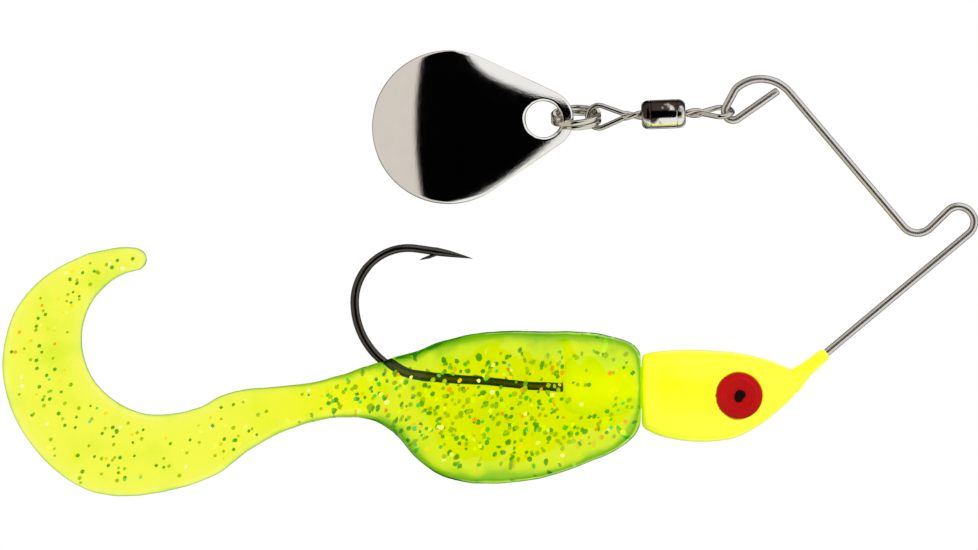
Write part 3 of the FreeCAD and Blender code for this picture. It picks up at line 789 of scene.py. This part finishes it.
front_neck = joint_at("swivel_swing") + AXIS * (FRONT_EYE_LEN - EYE_R)
front_eye = swivel_eye(front_neck, -AXIS, FRONT_ROLL, FRONT_EYE_LEN, FRONT_NECK_LEN)
place("front_eye_wire", mesh_of("front_eye_wire", front_eye), NICKEL,
      "front_eye", ["swivel_front_eye"])
rear_neck = joint_at("blade_spin")
rear_eye = swivel_eye(rear_neck, AXIS, REAR_ROLL, REAR_EYE_LEN, REAR_NECK_LEN)
place("rear_eye_wire", mesh_of("rear_eye_wire", rear_eye), NICKEL,
      "rear_eye", ["swivel_rear_eye"])

BARREL = [(0.30, 0.48), (0.06, 0.50), (0.0, 0.58), (0.0, 0.72), (0.05, 0.87), (0.16, 1.0),
          (0.33, 1.10), (0.50, 1.135), (0.62, 1.14), (0.68, 1.115), (0.74, 1.14),
          (1.0, 1.145), (1.72, 1.145)]
BARREL_LEN = 3.45
barrel_profile = BARREL + [(BARREL_LEN - s, r) for s, r in reversed(BARREL[:-1])]
barrel_rings = lathe(spline(barrel_profile, 4), joint_at("barrel_spin"), AXIS, 72)
inside = lathe([(3.15 - 2.85 * k / 6, 0.48) for k in range(1, 6)], joint_at("barrel_spin"),
               AXIS, 72)
barrel_rings = barrel_rings + inside + [barrel_rings[0]]
BARREL_MID = joint_at("barrel_spin") + AXIS * 1.4 + UP * -0.05
# the barrel's upper side carries a painted dark reflection, edged near BARREL_MID
BARREL_METAL = plating_with_painted_reflection("barrel_nickel_plate", (0.80, 0.78, 0.72), (0.05, 0.035, 0.03), 0.14,
                         tuple(BARREL_MID * MM), tuple(UP + AXIS * 0.25))
place("barrel_shell", mesh_of("barrel_shell", loft(barrel_rings, False)), BARREL_METAL,
      "barrel", ["swivel_barrel"])


# ---------------------------------------------------------------- split ring

RING_NORMAL = joint_axis("ring_swing")
RING_MID_R = 1.76
RING_TURNS = 1.93
SEAT_TO_CENTRE = 2.0 - 0.48 - 0.6
RING_CENTRE = joint_at("ring_swing") + AXIS * SEAT_TO_CENTRE
ring_x = AXIS
ring_y = RING_NORMAL.cross(ring_x).normalized()
ring_rings = []
steps = 150
for i in range(steps + 1):
    t = 2 * math.pi * RING_TURNS * i / steps + 1.15
    phase = i / steps
    step_mid = (phase - 0.5) / 0.055
    lift = 0.222 * math.tanh(step_mid)
    out = ring_x * math.cos(t) + ring_y * math.sin(t)
    fade = min(1.0, 0.55 + 14 * min(phase, 1 - phase))
    wide, tall = 0.225, 0.205 * fade
    ring = []
    for k in range(20):
        a = 2 * math.pi * k / 20
        c, s = math.cos(a), math.sin(a)
        x = wide * math.copysign(abs(c) ** 0.55, c)
        y = tall * math.copysign(abs(s) ** 0.55, s)
        ring.append(RING_CENTRE + out * (RING_MID_R + x) + RING_NORMAL * (lift + y))
    ring_rings.append(ring)
place("ring_coils", mesh_of("ring_coils", loft(ring_rings)), RING_METAL, "ring",
      ["split_ring"])


# ---------------------------------------------------------------- blade

BLADE_TILT = 4.8
HOLE_R = 1.425
TIP_R = 2.4
ROUND_R = 6.06
CENTRES = 7.5
CUP_R = 20.0
THICK = 0.4
ROUNDING = 0.14
EDGE_INSET = 0.05
PIVOT_TO_HOLE = 0.814
hole_at = joint_at("blade_swing") - heading(BLADE_TILT) * PIVOT_TO_HOLE


def blade_edge(angle):
    """Distance from the hole's centre to the teardrop's edge, in this direction."""
    c, s = math.cos(angle), math.sin(angle)
    lean = math.asin((ROUND_R - TIP_R) / CENTRES)
    best = TIP_R if c > math.sin(lean) else 0.0
    b = CENTRES * c
    inside = b * b - CENTRES * CENTRES + ROUND_R * ROUND_R
    if inside > 0:
        best = max(best, -b + math.sqrt(inside))
    for sign in (1, -1):
        n = Vector((math.sin(lean), sign * math.cos(lean)))
        dot = n.x * c + n.y * s
        if dot > 1e-6:
            reach = TIP_R / dot
            x = reach * c
            low_x = TIP_R * math.sin(lean)
            high_x = -CENTRES + ROUND_R * math.sin(lean)
            if high_x <= x <= low_x:
                best = reach
    return best


def make_blade():
    apex = (TIP_R - CENTRES - ROUND_R) / 2
    rim = (HOLE_R + TIP_R) / 2
    sag = CUP_R - math.sqrt(CUP_R ** 2 - (rim - apex) ** 2)
    cup = Vector((apex, CUP_R - sag, 0))

    def on_cup(x, z, lift):
        y = cup.y - math.sqrt(CUP_R ** 2 - (x - apex) ** 2 - z * z)
        p = Vector((x, y, z))
        return p + (p - cup).normalized() * lift

    count = 220
    half = THICK / 2
    inner = [0.0, 0.012, 0.035, 0.08, 0.16, 0.26, 0.38, 0.5, 0.62, 0.74, 0.84, 0.92, 0.965,
             0.988, 1.0]
    rings = []
    for side in (1, -1):
        order = inner if side > 0 else list(reversed(inner))
        for f in order:
            ring = []
            for k in range(count):
                a = 2 * math.pi * k / count
                edge = blade_edge(a) - EDGE_INSET
                reach = HOLE_R + (edge - HOLE_R) * f
                near = min(reach - HOLE_R, edge - reach)
                lift = half * math.sqrt(max(0.0, 1 - max(0.0, 1 - near / ROUNDING) ** 2))
                lift = max(lift, 0.35 * half)
                ring.append(on_cup(reach * math.cos(a), reach * math.sin(a), side * lift))
            rings.append(ring)
    rings.append(rings[0])
    verts, faces = loft(rings, False)
    turn = Matrix.Rotation(-math.radians(BLADE_TILT), 3, "Y")
    return [hole_at + turn @ v for v in verts], faces


blade_data = make_blade()
blade_mesh = mesh_of("blade_cup", blade_data)
bm = bmesh.new()
bm.from_mesh(blade_mesh)
bmesh.ops.remove_doubles(bm, verts=bm.verts, dist=0.0005)
bmesh.ops.recalc_face_normals(bm, faces=bm.faces)
bm.to_mesh(blade_mesh)
bm.free()
for poly in blade_mesh.polygons:
    poly.use_smooth = True
place("blade_cup", blade_mesh, BLADE_METAL, "blade", ["blade"])


# ---------------------------------------------------------------- floor, light and camera

def pale_floor():
    mesh = bpy.data.meshes.new("floor")
    z = -0.056
    mesh.from_pydata([(-0.9, -1.0, z), (0.85, -1.0, z), (0.85, 0.75, z), (-0.9, 0.75, z)], [],
                     [(0, 1, 2, 3)])
    obj = bpy.data.objects.new("floor", mesh)
    bpy.context.scene.collection.objects.link(obj)
    mat, nodes, links, shader = new_material("pale_floor")
    grain = noise_node(nodes, links, 30.0, 4.0)
    links.new(colour_mix(nodes, links, grain.outputs["Fac"], (0.90, 0.90, 0.90),
                         (0.86, 0.86, 0.86)), shader.inputs["Base Color"])
    shader.inputs["Roughness"].default_value = 0.8
    mesh.materials.append(mat)
    obj.visible_glossy = False
    obj.visible_transmission = False


def world_light():
    """A white studio with one dark flag in front of the object and one behind it."""
    world = bpy.data.worlds.new("studio")
    bpy.context.scene.world = world
    world.use_nodes = True
    nodes, links = world.node_tree.nodes, world.node_tree.links
    back = nodes["Background"]

    def math_node(op, a, b=None, clamp=False):
        n = nodes.new("ShaderNodeMath")
        n.operation = op
        n.use_clamp = clamp
        for socket, item in zip(n.inputs, (a, b)):
            if item is None:
                continue
            if isinstance(item, (int, float)):
                socket.default_value = item
            else:
                links.new(item, socket)
        return n.outputs[0]

    coord = nodes.new("ShaderNodeTexCoord")
    split = nodes.new("ShaderNodeSeparateXYZ")
    links.new(coord.outputs["Generated"], split.inputs[0])
    x, y, z = split.outputs
    deep = math_node("MAXIMUM", math_node("ABSOLUTE", y), 0.02)
    u = math_node("DIVIDE", x, deep)
    v = math_node("DIVIDE", z, deep)
    facing = math_node("MULTIPLY", math_node("ADD", math_node("ABSOLUTE", y), -0.12), 12.0, True)
    # the flag's left edge, its bowed upper edge and its slanting lower edge
    left = math_node("MULTIPLY", math_node("ADD", u, 0.50), 60.0, True)
    bow = math_node("DIVIDE", 0.10, math_node("MAXIMUM", math_node("ADD", u, 0.25), 0.02))
    upper = math_node("SUBTRACT", math_node("ADD", bow, 0.19), v)
    upper = math_node("MULTIPLY", upper, 22.0, True)
    lower = math_node("ADD", v, math_node("SUBTRACT", 0.66, math_node("MULTIPLY", u, 0.70)))
    lower = math_node("MULTIPLY", lower, 22.0, True)
    dark = math_node("MULTIPLY", math_node("MULTIPLY", left, upper),
                     math_node("MULTIPLY", lower, facing))
    warm = math_node("MULTIPLY", math_node("SUBTRACT", -0.3, u), 5.0, True)
    tone = nodes.new("ShaderNodeMix")
    tone.data_type = "RGBA"
    tone.inputs["A"].default_value = (1.0, 1.0, 1.0, 1)
    tone.inputs["B"].default_value = (0.76, 0.715, 0.66, 1)
    links.new(warm, tone.inputs["Factor"])
    flag = nodes.new("ShaderNodeMix")
    flag.data_type = "RGBA"
    flag.inputs["B"].default_value = (0.0008, 0.0006, 0.0006, 1)
    links.new(tone.outputs["Result"], flag.inputs["A"])
    links.new(dark, flag.inputs["Factor"])
    path = nodes.new("ShaderNodeLightPath")
    straight = math_node("MULTIPLY", math_node("ADD", math_node("ABSOLUTE", y), -0.42), 3.2, True)
    through = nodes.new("ShaderNodeMix")
    through.data_type = "RGBA"
    through.inputs["A"].default_value = (0.20, 0.60, 0.04, 1)
    through.inputs["B"].default_value = (1.0, 1.0, 1.0, 1)
    links.new(straight, through.inputs["Factor"])
    # a dark band that only mirrored light meets, beside and a little behind the object
    grazing = math_node("MINIMUM", math_node("MULTIPLY", math_node("ADD", y, -0.10), 3.0, True),
                        math_node("MULTIPLY", math_node("SUBTRACT", 0.76, y), 12.0, True))
    grazing = math_node("MULTIPLY", grazing, path.outputs["Is Glossy Ray"])
    edge = nodes.new("ShaderNodeMix")
    edge.data_type = "RGBA"
    edge.inputs["B"].default_value = (0.05, 0.047, 0.04, 1)
    links.new(grazing, edge.inputs["Factor"])
    links.new(flag.outputs["Result"], edge.inputs["A"])
    behind = nodes.new("ShaderNodeMix")
    behind.data_type = "RGBA"
    links.new(path.outputs["Is Transmission Ray"], behind.inputs["Factor"])
    links.new(edge.outputs["Result"], behind.inputs["A"])
    links.new(through.outputs["Result"], behind.inputs["B"])
    final = nodes.new("ShaderNodeMix")
    final.data_type = "RGBA"
    final.inputs["B"].default_value = (1.0, 1.0, 1.0, 1)
    links.new(path.outputs["Is Camera Ray"], final.inputs["Factor"])
    links.new(behind.outputs["Result"], final.inputs["A"])
    links.new(final.outputs["Result"], back.inputs["Color"])
    back.inputs["Strength"].default_value = 1.0


def soft_light(name, at, size, power):
    data = bpy.data.lights.new(name, "AREA")
    data.shape = "DISK"
    data.size = size
    data.energy = power
    obj = bpy.data.objects.new(name, data)
    bpy.context.scene.collection.objects.link(obj)
    obj.location = at
    obj.rotation_euler = (Vector((-0.036, 0, -0.005)) - Vector(at)).to_track_quat(
        "-Z", "Y").to_euler()
    obj.visible_glossy = False
    obj.visible_transmission = False
    obj.visible_camera = False


pale_floor()
world_light()
soft_light("key", (-0.25, -0.42, 0.38), 0.3, 1.6)
soft_light("fill", (0.35, -0.40, 0.10), 0.4, 0.8)

centre_x = -36.99
centre_z = -4.18
camera_data = bpy.data.cameras.new("camera")
camera = bpy.data.objects.new("camera", camera_data)
bpy.context.scene.collection.objects.link(camera)
distance = 0.75
camera.location = (centre_x * MM, -distance, centre_z * MM)
camera.rotation_euler = (math.radians(90), 0, 0)
camera_data.sensor_width = 36.0
camera_data.lens = 36.0 * distance / (77.01 * MM)
camera_data.clip_start = 0.01
camera_data.clip_end = 20.0
bpy.context.scene.camera = camera
bpy.context.scene.view_settings.view_transform = "Standard"
